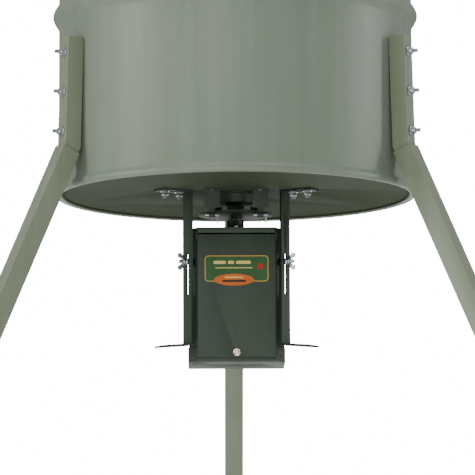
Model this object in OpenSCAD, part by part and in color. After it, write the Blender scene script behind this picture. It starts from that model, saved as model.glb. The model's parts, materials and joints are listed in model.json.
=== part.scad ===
// Tripod spin cast feeder: a steel drum hopper on three legs, with a sheet steel
// control box hung below its outlet. Z is up, the ground is z = 0, the front is -Y.

/* [Drum hopper] */
// Outer radius of the drum's wall
drum_r = 287; // [200:1:320]
// Height of the drum from chime to rim
drum_h = 876; // [500:1:1000]
// Sheet thickness of the drum
drum_wall = 1.2; // [0.8:0.1:2]
// How far the chime and the top rim stand out from the wall
chime_out = 6; // [3:0.5:10]
// Height of the rolled chime and rim
chime_h = 13; // [8:1:20]
// How far the bottom plate is recessed above the chime
bottom_recess = 5; // [4:0.5:8]
// How far each rolling hoop stands out
hoop_out = 9.5; // [4:0.5:14]
// Width of a rolling hoop
hoop_w = 46; // [30:1:60]
// Heights of the rolling hoops above the chime
hoop_low_z = 295; // [270:1:330]
// Height of the upper rolling hoop
hoop_high_z = 585; // [400:1:700]

/* [Outlet] */
// Outer radius of the outlet spout
spout_r = 29; // [20:1:40]
// Wall of the spout
spout_wall = 1.5; // [1:0.1:3]
// How far the spout hangs below the chime
spout_drop = 10; // [4:1:14]
// Radius of the spout's flange
spout_flange_r = 46; // [44:1:56]

/* [Legs] */
// Length of a leg tube
leg_len = 1829; // [900:1:2200]
// Side of the square leg tube
leg_w = 31.75; // [25.4:0.05:38.1]
// Wall of the square tubes
tube_wall = 2; // [1.2:0.1:2.2]
// Play between the leg tube and the bracket that it slides over
leg_play = 0.375; // [0.2:0.005:0.6]
// Slope of a leg from vertical
leg_tilt = 24.7; // [15:0.1:30]
// Lean of the bracket's upper part from vertical
bracket_lean = 1.6; // [0:0.1:2]
// Height of the bracket's top above the chime
bracket_top = 236; // [200:1:260]
// Height of the bracket's bend above the chime
bracket_bend = 62; // [50:1:70]
// Length of the bracket's stub inside the leg tube
stub_len = 120; // [60:1:200]
// Height of the upper leg bolt above the chime
leg_bolt_z = 212; // [200:1:220]
// Spacing of the leg bolts
leg_bolt_pitch = 64; // [50:1:66]
// Radius of a foot plate
foot_r = 45; // [38:1:60]
// Thickness of a foot plate
foot_t = 5; // [3:0.5:8]
// Radius of the stake hole in a foot plate
stake_r = 5.5; // [4:0.1:6]
// How far the stake hole lies outside the leg's centre
stake_off = 31; // [28:1:34]

/* [Hanger straps] */
// Width of a hanger strap
strap_w = 28; // [22:1:32]
// Thickness of a hanger strap
strap_t = 3; // [2:0.1:4]
// Radius of a strap's middle from the drum's axis
strap_r = 90; // [89:0.5:96]
// Length of the flanges at a strap's ends
flange_len = 54; // [46:1:64]
// Depth of a strap's lower flange below the chime
strap_drop = 245; // [225:1:250]
// Droop of the lower flange
flange_droop = 6; // [0:0.5:8]
// Spacing of the two holes in a flange
flange_pitch = 26; // [20:1:28]
// Top and bottom of the height slot below the chime
slot_top = 96; // [90:1:98]
// Bottom end of the height slot
slot_bottom = 164; // [150:1:180]
// Width of the height slot
slot_w = 7; // [6.6:0.1:8]

/* [Control box] */
// Depth of the box's top below the chime
box_top = 55.5; // [55:0.5:62]
// Depth of the box's underside below the chime
box_bottom = 270.5; // [260:0.5:300]
// Distance of the box's front from the axis
box_front = 53.7; // [52:0.1:56]
// Half width of the box
box_half = 78; // [74:0.5:80]
// Distance of the corner faces and of the rear face from the axis
box_corner = 81.4; // [81:0.1:82]
// Sheet thickness of the box
box_wall = 1.2; // [0.8:0.1:1.4]
// Depth of the hood's front lip
hood_lip = 8.6; // [7:0.1:9]
// Depth of the hood's other lips
hood_side_lip = 19; // [10:1:24]
// How far the hood's front lip stands out
hood_proud = 2.5; // [2.3:0.1:4]
// Height of the base pan's sides
pan_h = 24; // [14:1:30]
// Height of the base pan's front lip
pan_front_h = 4.6; // [3:0.1:5]

/* [Door] */
// Width of the door
door_w = 123; // [110:1:124]
// Thickness of the door
door_t = 1.5; // [1:0.1:1.7]
// Width of the opening behind the door
opening_w = 104; // [90:1:106]
// Diameter of the hinge rod
hinge_rod_d = 2; // [1.8:0.1:2.2]
// Radius of a hinge knuckle
knuckle_r = 2; // [1.8:0.1:2.1]
// Width of the label
label_w = 102; // [60:1:104]
// Height of the label
label_h = 42; // [20:1:50]
// Depth of the label's middle below the chime
label_z = 122; // [100:1:150]
// Radius of the lock's face
lock_r = 6.2; // [5:0.1:7]

/* [Drive] */
// Radius of the motor's case
motor_r = 18.5; // [14:0.5:19]
// Length of the motor's case
motor_len = 50; // [40:1:54]
// Diameter of the motor's shaft
shaft_d = 6; // [5:0.1:8]
// Radius of the spinner plate
spinner_r = 60; // [50:1:62]
// Thickness of the spinner plate
spinner_t = 1.5; // [1:0.1:2]
// Depth of the spinner plate's underside below the chime
spinner_z = 29; // [28:1:32]
// Height of the blades on the spinner
blade_h = 10; // [6:0.5:11]
// Number of blades
blade_count = 4; // [2:1:6]

/* [Battery and timer] */
// Width of the battery
battery_w = 94; // [80:1:100]
// Depth of the battery
battery_d = 62; // [50:1:65]
// Height of the battery
battery_h = 145; // [100:1:150]
// Width of the timer's case
timer_w = 92; // [80:1:98]
// Height of the timer's case
timer_h = 72; // [60:1:80]
// Depth of the timer's case
timer_d = 20; // [16:1:22]
// Radius of a timer button
button_r = 4; // [3:0.5:5]
// Travel of a timer button
button_travel = 1; // [0.5:0.1:1.5]

/* [Fasteners] */
// Diameter of the quarter inch bolts
bolt_d = 6.35; // [5:0.05:6.4]
// Width across the flats of a nut
nut_af = 11.1; // [9:0.1:12]
// Thickness of a nut
nut_t = 5.5; // [4:0.1:6]
// Depth of the height bolts below the chime
clamp_z = 110; // [100:1:118]

/* [Lid] */
// Depth of the lid's skirt
skirt_h = 38; // [20:1:60]
// Width of the lid's handle
handle_w = 120; // [90:1:160]
// Diameter of the handle's rod
handle_d = 7; // [5:0.5:10]

/* [Hidden] */
$fn = 96;

// Directions of the three legs and straps, turned from the front
left = -60;
right = 60;
rear = 180;
around = [left, right, rear];

gap = 0.3;          // between pieces of different bodies
fit = 0.08;         // radial play of a running fit
touch = 0.05;       // overlap that fuses features of one piece
snug = 0.02;        // radial play of threads and of fixed shafts
hole_fit = 0.2;     // radial play of a bolt in its hole

// Leg geometry
bracket_w = leg_w - 2 * tube_wall - 2 * leg_play;
bend_r = drum_r + gap + (bracket_top - bracket_bend) * tan(bracket_lean) + bracket_w / 2;
foot_reach = bend_r + leg_len * sin(leg_tilt);
chime_z = foot_t + leg_len * cos(leg_tilt) - bracket_bend;
axis_y = -foot_reach / 4;
leg_start = leg_w * 0.22;
foot_stub = 60;

// Box geometry
door_gap = 0.4;
shell_front = box_front - door_t - door_gap;
shell_in = box_wall + 0.1;
hinge_y = -(shell_front - 1.3);
hinge_z = -(box_top + 13);
door_top = hinge_z + 2;
door_bottom = -(box_bottom - pan_front_h - 0.9);
opening_top = hinge_z + 4.5;
opening_bottom = -(box_bottom - box_wall - 5.3);
lock_z = door_bottom + 8.4;
floor_z = -(box_bottom - box_wall);
panel_y = -20.2;
panel_t = 1.2;
battery_y = box_corner - shell_in - box_wall - battery_d - 1.5;
battery_top = floor_z + battery_h;
terminal_x = battery_w / 2 - 14;
terminal_y = battery_y + 16;
timer_top = -90;
timer_face = panel_y - panel_t - timer_d;
button_x = [-24, 0, 24];
button_z = timer_top - timer_h + 14;
switch_x = timer_w / 2 - 14;
switch_z = timer_top - 20;
clamp_len = 24;
lead_d = 2.6;

// Guard tab geometry
tab_x = 39;
tab_y = -58;
tab_w = 26;
tab_t = 1.6;
tab_bottom = -32;
pin_z = -36;
pin_d = 4;

module at_chime() { translate([0, axis_y, chime_z]) children(); }

// Turns a piece drawn on the front side, at -Y, to one of the three directions
module toward(angle) { rotate([0, 0, angle]) children(); }

// A cylinder along the radial direction at the front, from one radius to a larger one
module radial_rod(r_in, r_out, z, r) {
    translate([0, -r_in, z]) rotate([90, 0, 0]) cylinder(r = r, h = r_out - r_in);
}

module radial_nut(r_in, z, thickness, af) {
    translate([0, -r_in, z]) rotate([90, 0, 0])
        cylinder(r = af / 2 / cos(30), h = thickness, $fn = 6);
}

module box_solid(x0, x1, y0, y1, z0, z1) {
    translate([x0, y0, z0]) cube([x1 - x0, y1 - y0, z1 - z0]);
}

// ---- Drum

function hoop_bulge(z, centre) =
    abs(z - centre) > hoop_w / 2 ? 0 : hoop_out * (1 + cos(360 * (z - centre) / hoop_w)) / 2;
function wall_r(z) = drum_r + hoop_bulge(z, hoop_low_z) + hoop_bulge(z, hoop_high_z);
hoop_steps = 14;
function hoop_levels(centre) = [for (i = [0:hoop_steps]) centre - hoop_w / 2 + hoop_w * i / hoop_steps];
wall_levels = concat([chime_h * 0.8], hoop_levels(hoop_low_z), hoop_levels(hoop_high_z),
    [drum_h - chime_h * 0.6]);

module rolled_edge(z) {
    translate([drum_r + chime_out - chime_h / 2, z]) circle(r = chime_h / 2, $fn = 32);
}

module drum_body() {
    color("#7e897f") at_chime() difference() {
        drum_wall_form();
        leg_bolt_places() radial_rod(drum_r - 20, drum_r + 20, $z, bolt_d / 2 + hole_fit);
    }
}

module drum_wall_form() {
    rotate_extrude($fn = 180) {
        polygon(concat(
            [for (z = wall_levels) [wall_r(z), z]],
            [for (i = [len(wall_levels) - 1:-1:0]) [wall_r(wall_levels[i]) - drum_wall, wall_levels[i]]]));
        rolled_edge(chime_h / 2);
        rolled_edge(drum_h - chime_h / 2);
    }
}

bottom_r = drum_r + chime_out - chime_h - gap;

module drum_bottom() {
    color("#68735a") at_chime() difference() {
        rotate_extrude($fn = 180) {
            translate([0, bottom_recess]) square([bottom_r, drum_wall]);
            translate([bottom_r - drum_wall, 2]) square([drum_wall, bottom_recess - 2 + drum_wall]);
        }
        cylinder(r = spout_r + gap, h = 3 * bottom_recess);
        for (a = around) toward(a) flange_holes() cylinder(d = bolt_d + 2 * hole_fit, h = 3 * bottom_recess);
        for (s = [-1, 1]) translate([s * tab_x, tab_y - 8, 0]) cylinder(r = 2.4, h = 3 * bottom_recess);
        spout_rivet_places() cylinder(r = 2.1, h = 3 * bottom_recess);
    }
}

module spout_rivet_places() {
    for (a = [0:90:270]) rotate([0, 0, a + 45]) translate([spout_flange_r - 5, 0, 0]) children();
}

module outlet_spout() {
    color("#33402f") at_chime() difference() {
        union() {
            translate([0, 0, -spout_drop]) cylinder(r = spout_r, h = spout_drop + bottom_recess + drum_wall);
            translate([0, 0, bottom_recess - spout_wall]) cylinder(r = spout_flange_r, h = spout_wall);
        }
        translate([0, 0, -spout_drop - 1]) cylinder(r = spout_r - spout_wall, h = 2 * drum_r);
        spout_rivet_places() cylinder(r = 2.1, h = 3 * bottom_recess);
    }
}

module spout_rivets() {
    color("#9aa0a0") at_chime() spout_rivet_places() {
        translate([0, 0, bottom_recess - spout_wall - 1.4]) cylinder(r = 3.6, h = 1.4);
        translate([0, 0, bottom_recess - spout_wall - touch]) cylinder(r = 2, h = drum_wall + spout_wall + 0.2);
        translate([0, 0, bottom_recess + drum_wall]) cylinder(r = 3.2, h = 1.2);
    }
}

// ---- Legs

// The bend's local frame: origin at the bend, X outward from the drum
module at_bend(angle) {
    toward(angle) translate([0, -bend_r, bracket_bend]) rotate([0, 0, -90]) children();
}

module square_bar(side, length, z = 0) {
    translate([-side / 2, -side / 2, z]) cube([side, side, length]);
}

bracket_rise = (bracket_top - bracket_bend) / cos(bracket_lean);
up_axis = [-sin(bracket_lean), cos(bracket_lean)];
up_side = [cos(bracket_lean), sin(bracket_lean)];
leg_axis = [sin(leg_tilt), -cos(leg_tilt)];
leg_side = [cos(leg_tilt), sin(leg_tilt)];

// The mitred corner at distance h from the bend's centre line
function mitre(h) = h * (up_side + leg_side) / (1 + up_side * leg_side);

module bracket_form(side, extra) {
    h = side / 2;
    rise = bracket_rise + extra;
    drop = stub_len + extra;
    rotate([90, 0, 0]) linear_extrude(side, center = true) polygon([
        up_axis * rise + up_side * h, mitre(h), leg_axis * drop + leg_side * h,
        leg_axis * drop - leg_side * h, mitre(-h), up_axis * rise - up_side * h]);
}

module leg_bracket(angle) {
    color("#75805f") at_chime() difference() {
        at_bend(angle) difference() {
            bracket_form(bracket_w, 0);
            bracket_form(bracket_w - 2 * tube_wall, 1);
        }
        toward(angle) for (i = [0:2])
            radial_rod(drum_r - 20, drum_r + 80, leg_bolt_z - i * leg_bolt_pitch, bolt_d / 2 + hole_fit);
    }
}

module leg_tube(angle) {
    color("#75805f") difference() {
        at_chime() at_bend(angle) rotate([0, 180 - leg_tilt, 0]) difference() {
            square_bar(leg_w, leg_len + leg_w, leg_start);
            square_bar(leg_w - 2 * tube_wall, leg_len + 3 * leg_w, 0);
        }
        translate([-2 * foot_reach, -2 * foot_reach, foot_t - 200]) cube([4 * foot_reach, 4 * foot_reach, 200]);
    }
}

module leg_foot(angle) {
    color("#5f6a4c") {
        difference() {
            translate([0, axis_y, 0]) toward(angle) translate([0, -foot_reach, 0]) cylinder(r = foot_r, h = foot_t);
            translate([0, axis_y, -1]) toward(angle) translate([0, -foot_reach - stake_off, 0])
                cylinder(r = stake_r, h = foot_t + 2);
        }
        difference() {
            at_chime() at_bend(angle) rotate([0, 180 - leg_tilt, 0])
                square_bar(bracket_w, foot_stub + bracket_w, leg_len - foot_stub);
            translate([-2 * foot_reach, -2 * foot_reach, foot_t - 200 - touch])
                cube([4 * foot_reach, 4 * foot_reach, 200]);
        }
    }
}

function bracket_face(z) = drum_r + gap + (bracket_top - z) * tan(bracket_lean) + bracket_w;

module leg_bolt_places() {
    for (a = around, i = [0:2]) toward(a) {
        $z = leg_bolt_z - i * leg_bolt_pitch;
        children();
    }
}

module leg_bolts() {
    color("silver") at_chime() leg_bolt_places() {
        radial_rod(drum_r - drum_wall - 2, bracket_face($z) + 16, $z, bolt_d / 2);
        intersection() {
            translate([0, -drum_r + drum_wall - 3, $z]) sphere(r = 9, $fn = 48);
            radial_rod(drum_r - drum_wall - 6, drum_r - drum_wall - 1.2, $z, 7.2);
        }
    }
}

module leg_nuts() {
    color("silver") at_chime() leg_bolt_places() difference() {
        union() {
            radial_rod(bracket_face($z) + 0.5, bracket_face($z) + 2, $z, 8);
            radial_nut(bracket_face($z) + 2 - touch, $z, nut_t, nut_af);
        }
        radial_rod(bracket_face($z) - 2, bracket_face($z) + 20, $z, bolt_d / 2 + snug);
    }
}

// ---- Hanger straps

module flange_holes() {
    for (i = [0, 1]) translate([0, -(strap_r + flange_len - 12 - i * flange_pitch), 0]) children();
}

module slot_cut() {
    for (z = [slot_top + slot_w / 2, slot_bottom - slot_w / 2])
        radial_rod(strap_r - strap_t, strap_r + strap_t, -z, slot_w / 2);
    box_solid(-slot_w / 2, slot_w / 2, -strap_r - strap_t, -strap_r + strap_t,
        -slot_bottom + slot_w / 2, -slot_top - slot_w / 2);
}

module hanger_strap(angle) {
    color("#2f3d30") at_chime() toward(angle) difference() {
        union() {
            box_solid(-strap_w / 2, strap_w / 2, -strap_r - strap_t / 2, -strap_r + strap_t / 2,
                -strap_drop, bottom_recess);
            box_solid(-strap_w / 2, strap_w / 2, -strap_r - flange_len, -strap_r + strap_t / 2,
                bottom_recess - strap_t, bottom_recess);
            translate([0, -strap_r, -strap_drop]) rotate([flange_droop, 0, 0])
                box_solid(-strap_w / 2, strap_w / 2, -flange_len, strap_t / 2, 0, strap_t);
        }
        flange_holes() cylinder(d = bolt_d + 2 * hole_fit, h = 3 * bottom_recess);
        translate([0, -strap_r, -strap_drop]) rotate([flange_droop, 0, 0]) translate([0, strap_r, -strap_t])
            flange_holes() cylinder(d = bolt_d + 2 * hole_fit, h = 4 * strap_t);
        slot_cut();
    }
}

module hanger_bolts() {
    color("silver") at_chime() for (a = around) toward(a) flange_holes() {
        translate([0, 0, bottom_recess - strap_t - 11]) cylinder(d = bolt_d, h = strap_t + 11 + drum_wall + 2);
        translate([0, 0, bottom_recess + drum_wall + 0.2]) cylinder(r = 7, h = 3);
    }
}

module hanger_nuts() {
    color("silver") at_chime() for (a = around) toward(a) flange_holes() difference() {
        union() {
            translate([0, 0, bottom_recess - strap_t - 1.4]) cylinder(r = 8, h = 1.2);
            translate([0, 0, bottom_recess - strap_t - 1.4 - nut_t + touch])
                cylinder(r = nut_af / 2 / cos(30), h = nut_t, $fn = 6);
        }
        translate([0, 0, bottom_recess - strap_t - 30]) cylinder(r = bolt_d / 2 + snug, h = 60);
    }
}

// ---- Guard tabs with their hitch pins

module both_tabs() { for (s = [-1, 1]) translate([s * tab_x, tab_y, 0]) children(); }

module guard_tabs() {
    color("#8d9290") at_chime() both_tabs() {
        difference() {
            box_solid(-tab_w / 2, tab_w / 2, -16, 0, bottom_recess - tab_t, bottom_recess);
            translate([0, -8, 0]) cylinder(r = 2.4, h = 3 * bottom_recess);
        }
        box_solid(-tab_w / 2, tab_w / 2, -tab_t, 0, tab_bottom + 8, bottom_recess);
        box_solid(-5, 5, -tab_t, 0, tab_bottom - 1, tab_bottom + 9);
        translate([-5, -tab_t / 2, pin_z]) rotate([0, 90, 0]) difference() {
            cylinder(r = pin_d / 2 + 2, h = 10);
            translate([0, 0, -1]) cylinder(r = pin_d / 2 + fit, h = 12);
        }
    }
}

module guard_pins() {
    color("#b9bdbd") at_chime() for (s = [-1, 1]) translate([s * tab_x, tab_y, 0]) {
        difference() {
            translate([-9, -tab_t / 2, pin_z]) rotate([0, 90, 0]) cylinder(d = pin_d, h = 20);
            translate([8.6, 10, pin_z]) rotate([90, 0, 0]) cylinder(r = 0.9 + fit, h = 20);
        }
        translate([-9 - 1.6, -tab_t / 2, pin_z]) rotate([0, 90, 0]) cylinder(r = pin_d / 2 + 1.2, h = 1.6);
        translate([0, -8, bottom_recess - tab_t - 1.2]) cylinder(r = 4, h = 1.2);
        translate([0, -8, bottom_recess - tab_t - touch]) cylinder(r = 2.3, h = drum_wall + tab_t + 1);
    }
}

clip_d = 1.8;
clip_drop = 9.5;

module hitch_clip(side) {
    color("#c9cccc") at_chime() translate([side * tab_x + 8.6, tab_y - tab_t / 2, pin_z]) {
        rotate([90, 0, 0]) translate([0, 0, -pin_d / 2 - 2.5]) cylinder(d = clip_d, h = pin_d + 5);
        for (y = [-1, 1]) translate([0, y * (pin_d / 2 + 2), -clip_drop]) cylinder(d = clip_d, h = clip_drop);
        for (y = [-1, 1]) translate([0, y * (pin_d / 2 + 2), 0]) sphere(d = clip_d, $fn = 24);
        translate([0, 0, -clip_drop]) rotate([90, 0, 90]) difference() {
            rotate_extrude($fn = 48) translate([pin_d / 2 + 2, 0]) circle(d = clip_d, $fn = 24);
            translate([-20, 0, -5]) cube([40, 20, 10]);
        }
    }
}

// ---- Lid

lid_r = drum_r + chime_out + 1.5;
lid_z = drum_h + gap;
bracket_gap = 0.25;
handle_y = 28;
handle_z = lid_z + drum_wall + handle_d / 2 + 1.5;

module lid_shell() {
    color("#7e897f") at_chime() rotate_extrude($fn = 180) {
        translate([0, lid_z]) square([lid_r + drum_wall, drum_wall]);
        translate([lid_r, lid_z - skirt_h]) square([drum_wall, skirt_h + touch]);
        translate([lid_r + drum_wall / 2, lid_z - skirt_h]) circle(r = 2.2, $fn = 24);
        translate([lid_r - 14, lid_z + drum_wall - touch]) square([9, 2.2]);
    }
}

module lid_brackets() {
    color("#9aa0a0") at_chime() for (s = [-1, 1]) translate([s * (handle_w / 2 - 14), handle_y, 0]) difference() {
        union() {
            box_solid(-7, 7, -14, 14, lid_z + drum_wall, lid_z + drum_wall + 1.5);
            translate([-7, 0, handle_z]) rotate([0, 90, 0]) cylinder(r = handle_d / 2 + 2.5, h = 14);
        }
        translate([-8, 0, handle_z]) rotate([0, 90, 0]) cylinder(r = handle_d / 2 + fit, h = 16);
        box_solid(-20, 20, -30, 30, lid_z - 20, lid_z + drum_wall);
    }
}

module lid_handle() {
    color("#9aa0a0") at_chime() translate([0, handle_y, handle_z]) {
        for (s = [-1, 1]) {
            translate([s * handle_w / 2, 0, 0]) sphere(d = handle_d, $fn = 32);
            translate([s * handle_w / 2, -56, 0]) sphere(d = handle_d, $fn = 32);
            translate([s * handle_w / 2, 0, 0]) rotate([90, 0, 0]) cylinder(d = handle_d, h = 56);
            translate([s > 0 ? handle_w / 2 - 24 : -handle_w / 2, 0, 0]) rotate([0, 90, 0])
                cylinder(d = handle_d, h = 24);
        }
        translate([-handle_w / 2, -56, 0]) rotate([0, 90, 0]) cylinder(d = handle_d, h = handle_w);
    }
}

// ---- Control box

// The box's plan, drawn inset by t, with its front at distance f
function corner_x(f, t) = (box_corner - t - f * cos(60)) / sin(60);
function corner_y(t) = -(box_corner - t - (box_half - t) * sin(60)) / cos(60);
function plan(f, t) = [
    [-corner_x(f, t), -f], [corner_x(f, t), -f], [box_half - t, corner_y(t)],
    [box_half - t, box_corner - t], [t - box_half, box_corner - t], [t - box_half, corner_y(t)]];

module prism(f, t, z0, z1) { translate([0, 0, z0]) linear_extrude(z1 - z0) polygon(plan(f, t)); }

module clamp_holes(r) { for (a = around) toward(a) radial_rod(box_corner - 30, box_corner + 30, -clamp_z, r); }

module rivet_places() {
    for (a = [left, right]) toward(a) translate([0, -box_corner, -box_bottom + 7]) rotate([90, 0, 0]) children();
    for (s = [-1, 1]) translate([s * 50, box_corner, -box_bottom + 7]) rotate([-90, 0, 0]) children();
}

module hinge_ears() {
    for (s = [-1, 1]) {
        ear_x = s * (opening_w / 2 - 3);
        difference() {
            union() {
                translate([ear_x - 0.75, hinge_y, hinge_z]) rotate([0, 90, 0])
                    cylinder(r = hinge_rod_d / 2 + 0.4, h = 1.5);
                box_solid(ear_x - 0.75, ear_x + 0.75, hinge_y, hinge_y + 8, hinge_z - 14,
                    hinge_z + hinge_rod_d / 2 + 0.4);
            }
            translate([-opening_w, hinge_y, hinge_z]) rotate([0, 90, 0])
                cylinder(r = hinge_rod_d / 2 + snug, h = 2 * opening_w);
        }
        box_solid(min(ear_x, s * opening_w / 2 + s * 4), max(ear_x, s * opening_w / 2 + s * 4),
            -shell_front + box_wall - touch, -shell_front + box_wall + 1, hinge_z - 14, hinge_z - 4.5);
    }
}

module box_shell() {
    color("#2c3a2d") at_chime() {
        difference() {
            prism(shell_front, shell_in, floor_z, -box_top - box_wall);
            prism(shell_front - box_wall, shell_in + box_wall, floor_z - 1, -box_top + 1);
            box_solid(-opening_w / 2, opening_w / 2, -box_front, -shell_front + 2 * box_wall,
                opening_bottom, opening_top);
            box_solid(-box_half, box_half, -box_front, -shell_front + 2 * box_wall, hinge_z - 4, opening_top);
            clamp_holes(bolt_d / 2 + hole_fit);
            rivet_places() translate([0, 0, -4]) cylinder(r = 1.8, h = 8);
        }
        hinge_ears();
    }
}

module hood_ring() {
    difference() {
        polygon(plan(box_front + hood_proud, 0));
        polygon(plan(box_front + hood_proud - box_wall, box_wall));
    }
}

module box_hood() {
    color("#26352a") at_chime() difference() {
        union() {
            prism(box_front + hood_proud, 0, -box_top - box_wall, -box_top);
            translate([0, 0, -box_top - hood_lip]) linear_extrude(hood_lip - box_wall) hood_ring();
            translate([0, 0, -box_top - hood_side_lip]) linear_extrude(hood_side_lip - hood_lip) difference() {
                hood_ring();
                translate([-box_half, -box_front - 20]) square([2 * box_half, 20 + box_front - shell_front + 0.2]);
            }
        }
        translate([0, 0, -box_top - 5]) cylinder(r = 9, h = 10);
        for (s = [-1, 1]) translate([s * 12.5, 0, -box_top - 5]) cylinder(r = 1.7, h = 10);
    }
}

module box_base() {
    color("#46554a") at_chime() difference() {
        prism(box_front, 0, -box_bottom, -box_bottom + pan_h);
        prism(box_front - box_wall, box_wall, floor_z, -box_bottom + pan_h + 1);
        box_solid(-corner_x(box_front, 0) - 2, corner_x(box_front, 0) + 2, -box_front - 1, -shell_front + 0.1,
            -box_bottom + pan_front_h, 0);
        rivet_places() translate([0, 0, -4]) cylinder(r = 1.8, h = 8);
        for (x = [-40, 0, 40]) translate([x, 0, -box_bottom - 1]) cylinder(r = 2.5, h = 4);
    }
}

module corner_rivets() {
    color("#4a564c") at_chime() rivet_places() {
        translate([0, 0, -2.8]) cylinder(r = 1.7, h = 2.8);
        intersection() {
            translate([0, 0, -2.6]) sphere(r = 4.2, $fn = 48);
            cylinder(r = 3.3, h = 3);
        }
    }
}

module hinge_rod() {
    color("silver") at_chime() translate([-opening_w / 2 + 1, hinge_y, hinge_z]) rotate([0, 90, 0])
        cylinder(d = hinge_rod_d, h = opening_w - 2);
}

module inner_panel() {
    color("#9aa0a0") at_chime() {
        reach = box_half - shell_in - box_wall - 0.1;
        low = timer_top - timer_h - 12;
        box_solid(-reach, reach, panel_y - panel_t, panel_y, low, -box_top - box_wall - 8);
        for (s = [-1, 1]) box_solid(s > 0 ? reach - panel_t : -reach, s > 0 ? reach : -reach + panel_t,
            panel_y - panel_t, panel_y + 12, low, -box_top - box_wall - 8);
    }
}

// ---- Clamp bolts that hold the box at its height

module clamp_bolts() {
    color("silver") at_chime() for (a = around) toward(a) {
        radial_rod(box_corner - shell_in - box_wall - 1, box_corner + clamp_len, -clamp_z, bolt_d / 2);
        radial_rod(box_corner - shell_in - box_wall - 4, box_corner - shell_in - box_wall - 0.1, -clamp_z, 6.5);
    }
}

jam_t = 4.6;

module jam_nuts() {
    color("#5c6264") at_chime() for (a = around) toward(a) difference() {
        radial_nut(box_corner - shell_in + 0.1, -clamp_z, jam_t, nut_af);
        radial_rod(box_corner - 30, box_corner + 30, -clamp_z, bolt_d / 2 + snug);
    }
}

wing_seat = strap_r + strap_t / 2 + gap;
wing_hub_t = 8;

module wing_nut(angle) {
    color("#aeb6bd") at_chime() toward(angle) difference() {
        union() {
            translate([0, -wing_seat, -clamp_z]) rotate([90, 0, 0]) {
                cylinder(r = 6.6, h = 3);
                cylinder(r = 5.6, h = wing_hub_t);
            }
            for (s = [-1, 1]) translate([1.4, -wing_seat, -clamp_z]) rotate([0, -90, 0]) linear_extrude(2.8)
                polygon([[s * 3.6, -1.5], [s * 8.5, -6.5], [s * 14.5, -13.5], [s * 14, -17], [s * 10.5, -17.5],
                    [s * 6.5, -12], [s * 3.6, -wing_hub_t]]);
        }
        radial_rod(wing_seat - 1, wing_seat + 30, -clamp_z, bolt_d / 2 + fit);
    }
}

// ---- Drive

hood_under = -box_top - box_wall;

module motor_case() {
    color("#8b8f92") at_chime() difference() {
        union() {
            translate([0, 0, hood_under - motor_len]) cylinder(r = motor_r, h = motor_len - 0.1);
            translate([0, 0, hood_under - 0.2]) cylinder(r = 5, h = 3.4);
            for (s = [-1, 1]) box_solid(s * 8 - 1.5, s * 8 + 1.5, -0.4, 0.4, hood_under - motor_len - 7,
                hood_under - motor_len + 1);
        }
        translate([0, 0, hood_under - motor_len + 4]) cylinder(r = shaft_d / 2 + fit, h = 100);
        for (s = [-1, 1]) translate([s * 12.5, 0, hood_under - 6]) cylinder(r = 1.5, h = 10);
    }
}

module motor_screws() {
    color("silver") at_chime() for (s = [-1, 1]) translate([s * 12.5, 0, 0]) difference() {
        union() {
            translate([0, 0, hood_under - 5.5]) cylinder(r = 1.5, h = 5.5 + box_wall + 0.1);
            translate([0, 0, -box_top + 0.05]) cylinder(r = 2.8, h = 1.8);
        }
        box_solid(-3, 3, -0.35, 0.35, -box_top + 1.1, -box_top + 3);
    }
}

module motor_bush() {
    color("#1d1d1d") at_chime() difference() {
        union() {
            translate([0, 0, -box_top - box_wall]) cylinder(r = 8.95, h = box_wall);
            translate([0, 0, -box_top]) cylinder(r = 9.6, h = 2);
        }
        translate([0, 0, -box_top - 20]) cylinder(r = 5.1, h = 20 + 2.15 - 0.1);
        translate([0, 0, -box_top - 20]) cylinder(r = shaft_d / 2 + fit, h = 40);
    }
}

module motor_shaft() {
    color("silver") at_chime() translate([0, 0, hood_under - motor_len + 4.2])
        cylinder(d = shaft_d, h = box_top + box_wall + motor_len - 4.2 - spinner_z - 0.1);
}

hub_h = 16;
hub_r = 9;

module spinner_hub() {
    color("#2b2e2f") at_chime() translate([0, 0, -spinner_z - hub_h]) difference() {
        cylinder(r = hub_r, h = hub_h);
        translate([0, 0, -1]) cylinder(r = shaft_d / 2 + snug, h = hub_h + 2);
        set_screw_places() cylinder(r = 2, h = hub_r);
    }
}

// Two set screws on the hub's front, level with each other
module set_screw_places() {
    for (a = [-26, 26]) rotate([0, 0, a]) translate([0, -shaft_d / 2, hub_h / 2]) rotate([90, 0, 0]) children();
}

module spinner_screw() {
    color("#9aa0a0") at_chime() translate([0, 0, -spinner_z - hub_h]) set_screw_places() difference() {
        translate([0, 0, 0.1]) cylinder(r = 1.95, h = hub_r - shaft_d / 2 + 0.5);
        translate([0, 0, hub_r - shaft_d / 2 - 1.2]) cylinder(r = 1.1, h = 4, $fn = 6);
    }
}

module spinner_plate() {
    color("#a5aaac") at_chime() translate([0, 0, -spinner_z]) {
        cylinder(r = spinner_r, h = spinner_t);
        for (i = [0:blade_count - 1]) rotate([0, 0, 45 + 360 * i / blade_count])
            box_solid(spout_r + 4, spinner_r - 1, -0.75, 0.75, 0, blade_h + spinner_t);
    }
}

// ---- Battery, timer and leads

module battery_case() {
    color("#3a3d40") at_chime() {
        box_solid(-battery_w / 2, battery_w / 2, battery_y, battery_y + battery_d, floor_z + 0.1, battery_top - 8);
        box_solid(-battery_w / 2 + 0.8, battery_w / 2 - 0.8, battery_y + 0.8, battery_y + battery_d - 0.8,
            battery_top - 8 - touch, battery_top);
    }
}

module battery_terminals() {
    color("#c8b26a") at_chime() for (s = [-1, 1]) translate([s * terminal_x, terminal_y, battery_top])
        box_solid(-3.2, 3.2, -0.4, 0.4, 0.05, 7);
}

lead_sides = 8;
lead_steps = 3;

function unit(v) = v / norm(v);
function along(p, i) = p[min(max(i, 0), len(p) - 1)];

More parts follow.
